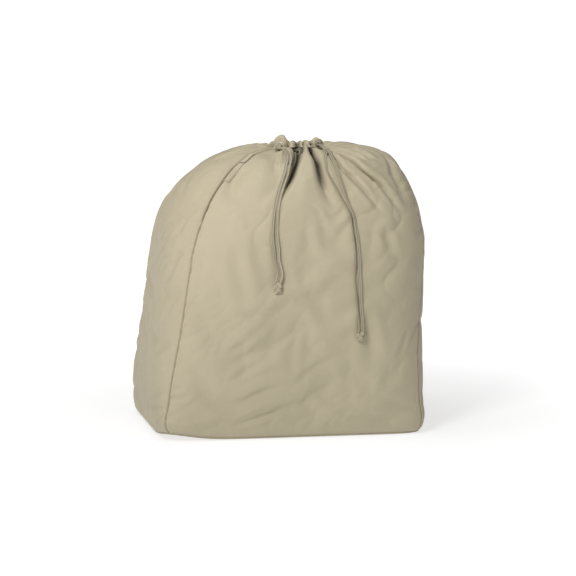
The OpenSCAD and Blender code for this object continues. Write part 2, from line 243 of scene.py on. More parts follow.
fold([(5.6, 53.5), (4.85, 50), (4.3, 46.5)], 2.8, 7, 10, 0.2, 0.6)
fold([(1.6, 48), (2.0, 40), (2.5, 28)], 2.6, 8, 14, 0.15, 0.6)
fold([(2.6, 54), (2.9, 47), (3.4, 40)], 2.2, 6, 12, 0.05, 0.6)
fold([(8.6, -42), (7.9, -33), (7.4, -22)], 2.6, 15, 19, 0.4, 0.5)
fold([(9.9, -20), (9.2, -12), (8.9, 2), (9.2, 14)], 2.4, 15, 18, 0.4, 0.5)
# left side panel
fold([(14.6, -98), (13.7, -93), (12.9, -87.5), (12.2, -81), (11.6, -76.5), (10.8, -73)], 3.2, 8, 12, 0.45, 0.5)
fold([(13.3, -87), (12.7, -90), (12.1, -92.5), (11.5, -94.8), (10.8, -97), (9.9, -100)], 4.6, 6, 10, 0.45, 0.5, 0.2, 0.35, 2)
fold([(8.7, -59), (8.4, -62.5), (7.65, -65), (7.1, -70)], 3.0, 6, 10, 0.1, 0.5)
fold([(9.4, -70), (9.15, -73), (8.4, -80.5), (7.7, -88)], 3.6, 8, 12, 0.3, 0.5)
fold([(10.6, -64), (9.6, -66), (8.9, -71)], 2.2, 6, 9, 0.2, 0.5)
fold([(2.6, -77), (2.85, -62), (2.85, -54)], 3.0, 4, 4, 0.4, 0.1)
fold([(1.4, -62), (2.4, -56.8), (3.1, -54)], 3.2, 4, 5, 0.1, 0.5)
fold([(1.5, -60), (1.85, -54), (1.75, -49), (1.55, -44)], -3.4, 5, 6, 0.2, 0.5, 0.0, 0.0)
fold([(5.4, -58), (4.9, -66), (4.0, -78)], 3.0, 8, 14, 0.1, 0.6)
fold([(3.7, -57), (3.3, -66), (2.9, -80)], 2.6, 7, 12, 0.05, 0.6)

# gathers round the rest of the mouth: (direction, how far out, depth, drift)
for k, ph in enumerate((60, 78, 86, 96, 106, 117, 128, 139, 151, 163, 174, 185, 197, 208, 219, 231, 243, 254, 264, 274, 283)):
    g = np.random.default_rng(100 + k)
    t_end = [13.2, 15.4, 12.0, 14.6, 16.2][k % 5] + g.uniform(-0.6, 0.6)
    drift = g.uniform(-7, 7)
    n = 6
    path = [(19.3 + (t_end - 19.3) * i / (n - 1), ph + drift * (i / (n - 1)) ** 1.5 + g.uniform(-0.8, 0.8)) for i in range(n)]
    fold(path, g.uniform(5.5, 9), 4.2, g.uniform(6, 9), 0.02, 0.75, 0.4, 0.4, g.uniform(-2, 2))
# generic pulls along the hidden seams and sides
for k in range(46):
    g = np.random.default_rng(300 + k)
    side = k % 4
    t0 = g.uniform(2.2, 12.5)
    if side == 0:
        ph, d = float(phi_sewn(t0, 0, 1.0)), g.choice([-1, 1])
    elif side == 1:
        ph, d = float(phi_of(t0, 2, -1.0)), g.choice([-1, 1])
    elif side == 2:
        ph, d = float(phi_of(t0, 2, 1.0)), g.choice([-1, 1])
    else:
        ph, d = float(phi_of(t0, 0, -1.0)), -1
    L = g.uniform(4, 9)
    fold([(t0, ph), (t0 + g.uniform(-0.15, 0.15), ph + d * L * 0.5), (t0 + g.uniform(-0.4, 0.3), ph + d * L)],
         g.uniform(0.7, 1.7), 4.5, 9, 0.02, 0.8)
for k in range(26):
    g = np.random.default_rng(500 + k)
    ph = g.uniform(75, 285)
    t0 = g.uniform(2.5, 9.5)
    sl = g.uniform(-1, 1)
    n = 5
    L = g.uniform(12, 34)
    fold([(t0 + sl * 1.1 * i / (n - 1) + g.uniform(-0.06, 0.06), ph + L * i / (n - 1)) for i in range(n)],
         g.uniform(1.6, 3.6), g.uniform(7, 13), g.uniform(10, 17), 0.35, 0.45)

SEAMS = [[(t, float(phi_sewn(t, p, s))) for t in np.linspace(0.4, 19.6, 60)] for p, s in ((0, -1.0), (0, 1.0), (2, -1.0), (2, 1.0))]


def _poly(path, n):
    q = spline(path, n)
    return base(q[:, 0], q[:, 1])


def _near(P, poly):
    """Distance of each point to a polyline, place along it 0 to 1, and the vector from it."""
    seg = poly[1:] - poly[:-1]
    L2 = (seg ** 2).sum(-1) + 1e-9
    best = np.full(len(P), 1e18)
    u = np.zeros(len(P)); vec = np.zeros((len(P), 3)); tan = np.zeros((len(P), 3))
    cum = np.concatenate([[0], np.cumsum(np.sqrt(L2))])
    for k in range(len(seg)):
        w = P - poly[k]
        f = np.clip(w @ seg[k] / L2[k], 0, 1)
        v = w - f[:, None] * seg[k]
        d = (v ** 2).sum(-1)
        m = d < best
        best[m] = d[m]; vec[m] = v[m]; tan[m] = seg[k] / math.sqrt(L2[k])
        u[m] = (cum[k] + f[m] * math.sqrt(L2[k])) / cum[-1]
    return np.sqrt(best), u, vec, tan


for f_ in FOLDS:
    f_["poly"] = _poly(f_["path"], 5)
SEAM_POLY = [base(np.array(s)[:, 0], np.array(s)[:, 1]) for s in SEAMS]


def collar_rise(P):
    """The pleats in front of the mouth climb to the gathers."""
    r = np.hypot(P[..., 0] - MOUTH_X, P[..., 1])
    ph = np.degrees(np.arctan2(P[..., 0] - MOUTH_X, -P[..., 1]))
    sec = smooth(-36, -18, ph) * (1 - smooth(26, 40, ph))
    return 9.5 * sec * (1 - smooth(57, 92, r))


def corner_lift(P):
    return 13.0 * np.exp(-((P[..., 0] + 284) / 75) ** 2 - ((P[..., 1] + 190) / 60) ** 2)


def mouth_dip(P):
    """How far the cloth round the back of the mouth sags below the front, mm."""
    r = np.hypot(P[..., 0] - MOUTH_X, P[..., 1])
    return 16.0 * smooth(-24, 40, P[..., 1]) * (1 - smooth(58, 108, r))


SIM = {"field": None}
SIM_T = np.concatenate([np.linspace(0.32, 9, 62), np.linspace(9, 19.3, 74)[1:]])
SIM_N = 288


def sim_offset(t, phi):
    """What the cloth simulation moved the cloth by, at t, phi, in mm."""
    f = SIM["field"]
    i = np.interp(t, SIM_T, np.arange(len(SIM_T)))
    j = ((phi + 180) % 360) / 360 * SIM_N
    i0 = np.clip(np.floor(i).astype(int), 0, len(SIM_T) - 2)
    j0 = np.floor(j).astype(int)
    a, b = (i - i0)[:, None], (j - j0)[:, None]
    # smooth weights keep the coarse grid from showing
    a, b = a * a * (3 - 2 * a) * 0.5 + a * 0.5, b * b * (3 - 2 * b) * 0.5 + b * 0.5
    j1 = (j0 + 1) % SIM_N
    j0 = j0 % SIM_N
    return ((f[i0, j0] * (1 - a) + f[i0 + 1, j0] * a) * (1 - b) + (f[i0, j1] * (1 - a) + f[i0 + 1, j1] * a) * b)


def displaced(t, phi):
    """Cloth surface in mm at flat arrays t, phi: points, outward base normals, and an amount of painted shade for
    each: how deep it lies in a narrow fold, and more in the seam grooves.
    """
    t, phi = np.asarray(t, float).ravel(), np.asarray(phi, float).ravel()
    P, N = base(t, phi), base_normal(t, phi)
    D = np.zeros(len(P)); lat = np.zeros((len(P), 3)); shade_amount = np.zeros(len(P))
    for f in FOLDS:
        W = max(f["w0"], f["w1"])
        lo, hi = f["poly"].min(0) - 3.2 * W, f["poly"].max(0) + 3.2 * W
        m = np.all((P > lo) & (P < hi), -1)
        if not m.any():
            continue
        d, u, vec, tan = _near(P[m], f["poly"])
        side = np.sign((np.cross(N[m], tan) * vec).sum(-1))   # + is left of the path seen from outside
        w = f["w0"] + (f["w1"] - f["w0"]) * u
        x = -side * d / w                                      # + is right of the path
        fade = smooth(0, max(f["fin"], 1e-3), u) * (1 - smooth(1 - f["fout"], 1, u)) if f["fin"] > 0 else 1
        endcap = np.where((u <= 1e-6) | (u >= 1 - 1e-6), np.exp(-(d / w) ** 2), 1)
        sharp = 1.15 + 0.75 * smooth(6.5, 13, W)
        valley = -np.exp(-np.abs(x) ** sharp)
        ridge = f["rl"] * np.exp(-((x + 1.75) / 0.85) ** 2) + f["rr"] * np.exp(-((x - 1.75) / 0.85) ** 2)
        a = f["depth"] * fade * endcap
        D[m] += a * (valley + ridge)
        # painted shade: deep narrow folds darken the colour in their valleys
        if f["depth"] >= 6 and W <= 13:
            shade_amount[m] += a * -np.exp(-np.abs(x) ** 1.6) * smooth(4, 12, a)
        if f["lean"]:
            dirn = unit(np.cross(tan, N[m]))                   # to the right of the path
            s = 1 if f["lean"] > 0 else -1
            prof = np.exp(-((x + s * 1.3) / 0.9) ** 2)
            lat[m] += dirn * (f["lean"] * fade * endcap * prof)[:, None]
    # near the base and the mouth the folds calm down
    calm = smooth(0.25, 1.6, t)
    D *= 0.25 + 0.75 * calm
    # slow unevenness of the filling, and faint slack ripples
    z = P[:, 2]
    D += (1.9 * noise(P / 95.0) + 0.9 * noise(P / 48.0 + 7)) * calm * (1 - smooth(560, 596, z) * 0.7)
    m1 = smooth(-0.1, 0.5, noise(P / 130.0 + 31))
    q = P @ np.array([[0.9, 0.15, 0.35], [-0.1, 1.0, 0.2], [-0.5, 0.1, 0.85]]).T
    D += 0.7 * m1 * noise(q / np.array([60.0, 30.0, 17.0]) + 3) * calm
    for sc, amp, off in ((105.0, 2.3, 61), (58.0, 1.4, 83), (33.0, 0.5, 97)):
        wq = q + 22.0 * np.stack([noise(P / 140.0 + off), noise(P / 140.0 + off + 9), noise(P / 140.0 + off + 17)], -1)
        nn_ = noise(wq / np.array([sc * 1.3, sc, sc * 0.62]) + off)
        mk = smooth(-0.25, 0.45, noise(P / 170.0 + off * 1.7)) * (1 - 0.55 * smooth(470, 575, z))
        D += amp * mk * (np.clip(1 - np.abs(nn_) * 3.2, 0, 1) ** 2.2 * -1.0 + 0.5 * np.clip(np.abs(nn_) * 2.2, 0, 1)) * calm
    # seams: a narrow sewn-in groove with the bound allowance showing beside it
    for k, poly in enumerate(SEAM_POLY):
        d, u, vec, tan = _near(P, poly)
        near = d < 60
        x = -np.sign((np.cross(N, tan) * vec).sum(-1)) * d
        top = smooth(8.8, 13.0, t)
        D[near] += (-(2.4 + 4.2 * top * (k == 0)) * np.exp(-(d / (1.5 + 1.1 * top * (k == 0))) ** 2) + 0.8 * np.exp(-((d - 5) / 3.0) ** 2))[near]
        pk = noise(np.stack([u * 29 + 9 * k, np.full_like(u, 3.3 * k), x / 40.0], -1))
        D[near] += (0.34 * pk * np.exp(-(d / 17.0) ** 2) * smooth(0, 4, d))[near]
        # painted shade: the seam grooves are darkened in colour, most along the front left seam near the top
        shade_amount[near] -= ((5.0 + 3.5 * (k == 0) + 9.0 * top * (k == 0)) * np.exp(-(d / 1.8) ** 2))[near]
    P2 = P + N * D[:, None] + lat
    if SIM["field"] is not None:
        # the outline against the sides stays tauter than the broad front
        taut = 1 - 0.65 * np.exp(-((np.abs((phi + 180) % 360 - 180) - 83) / 38) ** 2)
        P2 = P2 + sim_offset(t, phi) * taut[:, None]
    P2[:, 2] += collar_rise(P) - mouth_dip(P)
    # bottom left front corner stands slightly off the floor
    P2[:, 2] += corner_lift(P) * (1 - smooth(8, 90, z))
    P2[:, 2] = np.maximum(P2[:, 2], 0.6)
    return P2, N, shade_amount


# ------------------------------------------------------------- mesh helpers
def make_mesh(name, verts_mm, faces, smooth_shade=True, attr=None, uv=None):
    me = bpy.data.meshes.new(name)
    me.from_pydata([tuple(v) for v in (np.asarray(verts_mm) * MM).tolist()], [], faces)
    me.validate()
    me.update()
    if smooth_shade:
        me.polygons.foreach_set("use_smooth", [True] * len(me.polygons))
    for key, val in (attr or {}).items():
        a = me.attributes.new(key, "FLOAT", "POINT")
        a.data.foreach_set("value", np.asarray(val, np.float32))
    o = bpy.data.objects.new(name, me)
    bpy.context.scene.collection.objects.link(o)
    return o


def grid_faces(n, m, close=False, flip=False):
    f = []
    for i in range(n - 1):
        for j in range(m if close else m - 1):
            a, b = i * m + j, i * m + (j + 1) % m
            c, d = (i + 1) * m + (j + 1) % m, (i + 1) * m + j
            f.append((a, d, c, b) if flip else (a, b, c, d))
    return f


def apply_mods(o):
    bpy.context.view_layer.objects.active = o
    for m in list(o.modifiers):
        with bpy.context.temp_override(object=o, active_object=o, selected_objects=[o]):
            bpy.ops.object.modifier_apply(modifier=m.name)


def solidify(o, thick_mm, offset=-1.0):
    m = o.modifiers.new("thick", "SOLIDIFY")
    m.thickness = thick_mm * MM
    m.offset = offset
    m.use_rim = True
    m.use_even_offset = False
    apply_mods(o)


def frames_along(P, hint):
    """Tangents and two across directions for points P; the first lies near hint."""
    T = unit(np.gradient(P, axis=0))
    h = np.broadcast_to(np.asarray(hint, float), P.shape)
    U = unit(h - (h * T).sum(-1, keepdims=True) * T)
    V = np.cross(T, U)
    return T, U, V


def tube(name, P, a, b, hint, sides=16, roll=None, power=2.4, cap=True, bumps=None, attr=None):
    """Tube along P with a flattened section: half width a along hint, half thickness b, rolled by roll."""
    P = np.asarray(P, float)
    T, U, V = frames_along(P, hint)
    n = len(P)
    roll = np.zeros(n) if roll is None else np.asarray(roll)
    a = np.broadcast_to(a, (n,)).astype(float); b = np.broadcast_to(b, (n,)).astype(float)
    th = np.linspace(0, 2 * np.pi, sides, endpoint=False)
    verts = []
    for i in range(n):
        cu, su = math.cos(roll[i]), math.sin(roll[i])
        u, v = cu * U[i] + su * V[i], -su * U[i] + cu * V[i]
        c = np.sign(np.cos(th)) * np.abs(np.cos(th)) ** (2 / power) * a[i]
        s = np.sign(np.sin(th)) * np.abs(np.sin(th)) ** (2 / power) * b[i]
        if bumps is not None:
            k = 1 + bumps[i]
            c, s = c * k, s * k
        verts.append(P[i] + c[:, None] * u + s[:, None] * v)
    verts = np.concatenate(verts)
    faces = grid_faces(n, sides, close=True)
    if cap:
        verts = np.concatenate([verts, [P[0] - T[0] * 0.4 * b[0], P[-1] + T[-1] * 0.4 * b[-1]]])
        faces += [(i, (i + 1) % sides, n * sides)[::-1] for i in range(sides)]
        k = (n - 1) * sides
        faces += [(k + i, k + (i + 1) % sides, n * sides + 1) for i in range(sides)]
    o = make_mesh(name, verts, faces)
    return o


def join_meshes(name, parts):
    """One mesh object from several, joined in order."""
    V, F, off = [], [], 0
    for o in parts:
        co = np.zeros(len(o.data.vertices) * 3); o.data.vertices.foreach_get("co", co)
        V.append(co.reshape(-1, 3) / MM)
        F += [tuple(v + off for v in p.vertices) for p in o.data.polygons]
        off += len(o.data.vertices)
        bpy.data.objects.remove(o)
    return make_mesh(name, np.concatenate(V), F)


# ------------------------------------------------------------- materials
# the shade tint multiplies the colour where the painted fold shade is full
def cloth_material(name, rgb, weave=520.0, rough=0.62, sheen=0.12, bump=0.25, shade_tint=0.26, yarn=0.06, spec=0.3, grain=(1, 1, 1)):
    m = bpy.data.materials.new(name)
    m.use_nodes = True
    nt = m.node_tree
    N, L = nt.nodes, nt.links
    N.clear()
    out = N.new("ShaderNodeOutputMaterial")
    b = N.new("ShaderNodeBsdfPrincipled")
    L.new(b.outputs[0], out.inputs[0])
    b.inputs["Sheen Weight"].default_value = sheen
    b.inputs["Sheen Roughness"].default_value = 0.45
    b.inputs["Sheen Tint"].default_value = (rgb[0] ** 0.5, rgb[1] ** 0.5, rgb[2] ** 0.5, 1)
    b.inputs["Specular IOR Level"].default_value = spec
    tc = N.new("ShaderNodeTexCoord")
    waves = []
    for ax in ("X", "Y", "Z"):
        w = N.new("ShaderNodeTexWave")
        w.wave_type = "BANDS"; w.bands_direction = ax; w.wave_profile = "SIN"
        w.inputs["Scale"].default_value = weave * grain["XYZ".index(ax)]
        w.inputs["Distortion"].default_value = 0.6
        w.inputs["Detail"].default_value = 1.0
        w.inputs["Detail Scale"].default_value = 0.02
        L.new(tc.outputs["Object"], w.inputs["Vector"])
        waves.append(w)
    mul = N.new("ShaderNodeMath"); mul.operation = "MULTIPLY"
    add = N.new("ShaderNodeMath"); add.operation = "ADD"
    L.new(waves[0].outputs["Fac"], mul.inputs[0]); L.new(waves[2].outputs["Fac"], mul.inputs[1])
    mul2 = N.new("ShaderNodeMath"); mul2.operation = "MULTIPLY"
    L.new(waves[1].outputs["Fac"], mul2.inputs[0]); L.new(waves[2].outputs["Fac"], mul2.inputs[1])
    L.new(mul.outputs[0], add.inputs[0]); L.new(mul2.outputs[0], add.inputs[1])
    # uneven dye and soft rubbing
    n1 = N.new("ShaderNodeTexNoise"); n1.inputs["Scale"].default_value = 5.0; n1.inputs["Detail"].default_value = 4.0
    n2 = N.new("ShaderNodeTexNoise"); n2.inputs["Scale"].default_value = 850.0; n2.inputs["Detail"].default_value = 2.0
    n3 = N.new("ShaderNodeTexNoise"); n3.inputs["Scale"].default_value = 60.0; n3.inputs["Detail"].default_value = 3.0
    for n in (n1, n2, n3):
        L.new(tc.outputs["Object"], n.inputs["Vector"])
    mix1 = N.new("ShaderNodeMix"); mix1.data_type = "RGBA"; mix1.blend_type = "MULTIPLY"
    mix1.inputs["Factor"].default_value = 1.0
    r1 = N.new("ShaderNodeMapRange")
    r1.inputs["From Min"].default_value, r1.inputs["From Max"].default_value = 0.3, 0.7
    r1.inputs["To Min"].default_value, r1.inputs["To Max"].default_value = 0.965, 1.03
    L.new(n1.outputs["Fac"], r1.inputs["Value"])
    comb = N.new("ShaderNodeCombineColor")
    for i in range(3):
        L.new(r1.outputs[0], comb.inputs[i])
    mix1.inputs[6].default_value = (*rgb, 1); L.new(comb.outputs[0], mix1.inputs[7])
    # yarn to yarn difference
    r2 = N.new("ShaderNodeMapRange")
    r2.inputs["To Min"].default_value, r2.inputs["To Max"].default_value = 1 - yarn, 1 + yarn
    L.new(n2.outputs["Fac"], r2.inputs["Value"])
    comb2 = N.new("ShaderNodeCombineColor")
    for i in range(3):
        L.new(r2.outputs[0], comb2.inputs[i])
    mix2 = N.new("ShaderNodeMix"); mix2.data_type = "RGBA"; mix2.blend_type = "MULTIPLY"
    mix2.inputs["Factor"].default_value = 1.0
    L.new(mix1.outputs[2], mix2.inputs[6]); L.new(comb2.outputs[0], mix2.inputs[7])
    # painted shade: the colour is darkened towards the shade tint by a point attribute set deep in folds, in the seam
    # grooves, in the gathers and along the cords, where shade would fall
    at = N.new("ShaderNodeAttribute"); at.attribute_name = "painted_shade"
    r3 = N.new("ShaderNodeMapRange"); r3.inputs["From Min"].default_value = 0.0; r3.inputs["From Max"].default_value = 1.0
    L.new(at.outputs["Fac"], r3.inputs["Value"])
    shade_mix = N.new("ShaderNodeMix"); shade_mix.data_type = "RGBA"
    L.new(r3.outputs[0], shade_mix.inputs["Factor"])
    L.new(mix2.outputs[2], shade_mix.inputs[6])
    shade_tint_mix = N.new("ShaderNodeMix"); shade_tint_mix.data_type = "RGBA"; shade_tint_mix.blend_type = "MULTIPLY"; shade_tint_mix.inputs["Factor"].default_value = 1.0
    L.new(mix2.outputs[2], shade_tint_mix.inputs[6]); shade_tint_mix.inputs[7].default_value = (shade_tint, shade_tint * 0.98, shade_tint * 0.95, 1)
    L.new(shade_tint_mix.outputs[2], shade_mix.inputs[7])
    L.new(shade_mix.outputs[2], b.inputs["Base Color"])
    rr = N.new("ShaderNodeMapRange")
    rr.inputs["To Min"].default_value, rr.inputs["To Max"].default_value = rough - 0.07, rough + 0.07
    L.new(n3.outputs["Fac"], rr.inputs["Value"]); L.new(rr.outputs[0], b.inputs["Roughness"])
    bp = N.new("ShaderNodeBump"); bp.inputs["Strength"].default_value = bump; bp.inputs["Distance"].default_value = 0.00025
    L.new(add.outputs[0], bp.inputs["Height"])
    bp2 = N.new("ShaderNodeBump"); bp2.inputs["Strength"].default_value = 0.12; bp2.inputs["Distance"].default_value = 0.0012
    L.new(n3.outputs["Fac"], bp2.inputs["Height"]); L.new(bp.outputs[0], bp2.inputs["Normal"])
    L.new(bp2.outputs[0], b.inputs["Normal"])
    return m


def metal_material(name, rgb, rough=0.28):
    m = bpy.data.materials.new(name)
    m.use_nodes = True
    nt = m.node_tree; N, L = nt.nodes, nt.links
    b = N["Principled BSDF"]
    b.inputs["Metallic"].default_value = 1.0
    tc = N.new("ShaderNodeTexCoord")
    n = N.new("ShaderNodeTexNoise"); n.inputs["Scale"].default_value = 900.0; n.inputs["Detail"].default_value = 3.0
    n2 = N.new("ShaderNodeTexNoise"); n2.inputs["Scale"].default_value = 120.0
    L.new(tc.outputs["Object"], n.inputs["Vector"]); L.new(tc.outputs["Object"], n2.inputs["Vector"])
    ramp = N.new("ShaderNodeMix"); ramp.data_type = "RGBA"
    ramp.inputs[6].default_value = (*[c * 0.82 for c in rgb], 1); ramp.inputs[7].default_value = (*rgb, 1)
    L.new(n2.outputs["Fac"], ramp.inputs["Factor"]); L.new(ramp.outputs[2], b.inputs["Base Color"])
    r = N.new("ShaderNodeMapRange"); r.inputs["To Min"].default_value = rough - 0.08; r.inputs["To Max"].default_value = rough + 0.12
    L.new(n.outputs["Fac"], r.inputs["Value"]); L.new(r.outputs[0], b.inputs["Roughness"])
    bp = N.new("ShaderNodeBump"); bp.inputs["Strength"].default_value = 0.08; bp.inputs["Distance"].default_value = 0.0002
    L.new(n.outputs["Fac"], bp.inputs["Height"]); L.new(bp.outputs[0], b.inputs["Normal"])
    return m


KHAKI = (0.442, 0.389, 0.272)
MAT = {
    "cloth": cloth_material("bag_cloth", KHAKI),
    # painted shade: the sides and bottom get a slightly darker copy of the same bag cloth
    "side": cloth_material("bag_cloth_shaded_copy", tuple(c * 0.985 for c in KHAKI)),
    # the cord cloth is set darker than the bag cloth; part of that darkening is painted shade standing in for the
    # shadow along the cords' edges
    "cord": cloth_material("drawcord_cloth", tuple(c * 0.89 for c in KHAKI), weave=420, rough=0.7, bump=0.4, yarn=0.09, shade_tint=0.4),
    "tape": cloth_material("binding_tape", (0.36, 0.32, 0.235), weave=330, rough=0.8, bump=0.6, sheen=0.1, yarn=0.1),
    "label": cloth_material("label_weave", (0.475, 0.43, 0.315), weave=640, rough=0.5, bump=0.35, sheen=0.35, yarn=0.08),
    "thread": cloth_material("sewing_thread", (0.40, 0.355, 0.25), weave=900, rough=0.6, bump=0.8, yarn=0.12),
    "metal": metal_material("eyelet_nickel", (0.74, 0.72, 0.66)),
}


def finish_piece(o, mat, body, slot, *nodes):
    o.data.materials.clear()
    o.data.materials.append(MAT[mat])
    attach(o, body)
    if nodes:
        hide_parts(*nodes)
    return o


def surf(t, phi, off=0.0):
    """Points on the finished cloth, off mm outside it, keeping the shape of t."""
    t, phi = np.broadcast_arrays(np.asarray(t, float), np.asarray(phi, float))
    P, N, c = displaced(t.ravel(), phi.ravel())
    return (P + N * off).reshape(t.shape + (3,)), N.reshape(t.shape + (3,)), c.reshape(t.shape)


def drape():
    """Cloth simulation of the four walls as one sewn shell: slack cloth held out by its filling, held at the floor and the mouth."""
    phs = -180 + 360 * np.arange(SIM_N) / SIM_N
    Tg, Pg = np.meshgrid(SIM_T, phs, indexing="ij")
    P, N, _ = displaced(Tg.ravel(), Pg.ravel())
    n, m = Tg.shape
    o = make_mesh("shell_sim", P, grid_faces(n, m, close=True))
    vg = o.vertex_groups.new(name="held")
    # the filling holds the cloth more or less firmly from place to place
    B = base(Tg.ravel(), Pg.ravel())
    slackness = smooth(-0.35, 0.45, noise(B / 120.0 + 41))
    wts = 0.32 - 0.27 * slackness
    tt = Tg.ravel()
    wts = np.maximum(wts, 1 - smooth(0.9, 2.6, tt))
    wts = np.maximum(wts, smooth(16.2, 18.2, tt))
    # seams hold firmer than the open cloth
    for k, poly in enumerate(SEAM_POLY):
        d = _near(B, poly)[0]
        wts = np.maximum(wts, 0.5 * np.exp(-(d / 9.0) ** 2))
    for lv in range(1, 41):
        idx = np.nonzero(np.round(wts * 40).astype(int) == lv)[0].tolist()
        if idx:
            vg.add(idx, lv / 40, "REPLACE")
    cl = o.modifiers.new("cloth", "CLOTH")
    st = cl.settings
    st.quality = 6
    st.mass = 0.18
    st.air_damping = 1.0
    st.tension_stiffness = st.compression_stiffness = 18
    st.shear_stiffness = 8
    st.bending_stiffness = 6.0
    st.tension_damping = st.compression_damping = st.shear_damping = 8
    st.bending_damping = 0.5
    st.vertex_group_mass = "held"
    st.pin_stiffness = 0.9
    st.shrink_min = -0.016
    st.shrink_max = -0.016
    st.use_pressure = True
    st.uniform_pressure_force = 2.4
    st.effector_weights.gravity = 0.6
    cl.collision_settings.use_collision = False
    cl.collision_settings.use_self_collision = False
    sc = bpy.context.scene
    cl.point_cache.frame_start, cl.point_cache.frame_end = 1, 26
    for f in range(1, 25):
        sc.frame_set(f)
    dg = bpy.context.evaluated_depsgraph_get()
    ev = o.evaluated_get(dg)
    co = np.zeros(len(o.data.vertices) * 3)
    ev.to_mesh().vertices.foreach_get("co", co)
    ev.to_mesh_clear()
    d = co.reshape(-1, 3) / MM - P
    bpy.data.objects.remove(o)
    sc.frame_set(1)
    # only as far as slack cloth would go
    ln = np.linalg.norm(d, axis=-1, keepdims=True)
    d = d * np.minimum(1, 7.0 / np.maximum(ln, 1e-6))
    d = d.reshape(n, m, 3)
    for _ in range(2):                       # the coarse shell's own facets go
        d = 0.25 * np.roll(d, 1, 1) + 0.5 * d + 0.25 * np.roll(d, -1, 1)
        e = np.concatenate([d[:1], d, d[-1:]])
        d = 0.25 * e[:-2] + 0.5 * e[1:-1] + 0.25 * e[2:]
    fade = smooth(0.3, 1.6, SIM_T) * (1 - smooth(16.4, 18.0, SIM_T)) * (1 - 0.45 * smooth(10.5, 13.5, SIM_T))
    print("simulated shell moved: mean %.2f mm, most %.2f mm" % (float(ln.mean()), float(ln.max())))
    return d * fade[:, None, None]


import time as _time
_t0 = _time.time()
SIM["field"] = drape()
print("simulation took %.1f s" % (_time.time() - _t0))

# ------------------------------------------------------------------ cords
EXIT_L, EXIT_R, EXIT_Z = -48.0, 46.0, 604.0
CORD_W, CORD_T = 7.4, 3.0          # a folded fabric strip, width and thickness, mm
LEFT_START = [[-15.5, -52, 8.5], [-10.5, -66, 6.5]]
RIGHT_START = [[80, -52, 8.5], [81, -64, 6.5]]
LEFT_ROUTE = [[17, -.44, 2.7], [16.2, -.38, 2.7], [15.4, -.36, 2.7], [14.6, -.35, 2.7], [13.6, -.32, 2.7], [12.5, -.31, 2.7],
              [11.5, -.3, 2.7], [10.5, -.28, 3], [9.5, -.25, 3.6], [8.9, -.22, 3.4], [8.4, -.2, 2.7], [7.8, -.17, 2.7], [7.5, -.18, 2.7], [7.35, -.18, 2.7]]
RIGHT_ROUTE = [[17, .54, 2.7], [16.2, .44, 3], [15.4, .34, 5], [14.6, .32, 8], [13.7, .33, 10], [12.7, .37, 7], [11.7, .41, 4],
               [10.7, .44, 2.7], [9.7, .43, 2.7], [8.6, .41, 2.7], [7.5, .41, 3.6], [6.8, .43, 3], [6.1, .45, 2.7], [5.75, .46, 2.7], [5.6, .46, 2.7]]


def exit_point(deg, r, tang=0.0):
    a = math.radians(deg)
    o = np.array([math.sin(a), -math.cos(a), 0.0]); c = np.array([math.cos(a), math.sin(a), 0.0])
    return np.array([MOUTH_X, 0, EXIT_Z]) + o * r + c * tang


def strand_path(side, deg, start, route, seed):
    g = np.random.default_rng(seed)
    half = 0.55 * (CORD_W - 5)
    head = [exit_point(deg, r, side * 2.2) for r in (50, 54, 58, 62)]
    head[1][2] += 0.3
    pts = [p for p in head]
    pts += [np.array([x + side * (2.7 + 0.3 * half), y, Z0 + z]) for x, y, z in start]
    t = np.array([r[0] for r in route]); s = np.array([r[1] for r in route]); gap = np.array([r[2] for r in route])
    gap = gap + half * np.clip((gap - 2.0), 0.6, 1.2)
    P, N, c = surf(t, phi_of(t, 0, s))
    B = base(t, phi_of(t, 0, s))
    # height over the undisplaced surface: over ridges, bridging the valleys
    h = []
    for k in range(len(t)):
        dd = []
        for ds in (-0.022, 0.0, 0.022):
            q, nn, _ = surf(t[k:k + 1], phi_of(t[k:k + 1], 0, s[k:k + 1] + ds + side * gap[k] / 290))
            b = base(t[k:k + 1], phi_of(t[k:k + 1], 0, s[k:k + 1] + ds + side * gap[k] / 290))
            dd.append(float(((q - b) * nn).sum()))
        h.append(max(dd))
    h = np.array(h)
    h = np.maximum(h, -1.0)
    hs = np.convolve(np.pad(h, 1, mode="edge"), [0.25, 0.5, 0.25], "valid")
    h = np.maximum(h, hs) + CORD_T / 2 + 0.5
    h[-3:] += [1.5, 4.0, 5.5]
    W = B + N * h[:, None]
    W[:, 0] += side * gap
    pts += [w for w in W]
    return spline(np.array(pts), 7)


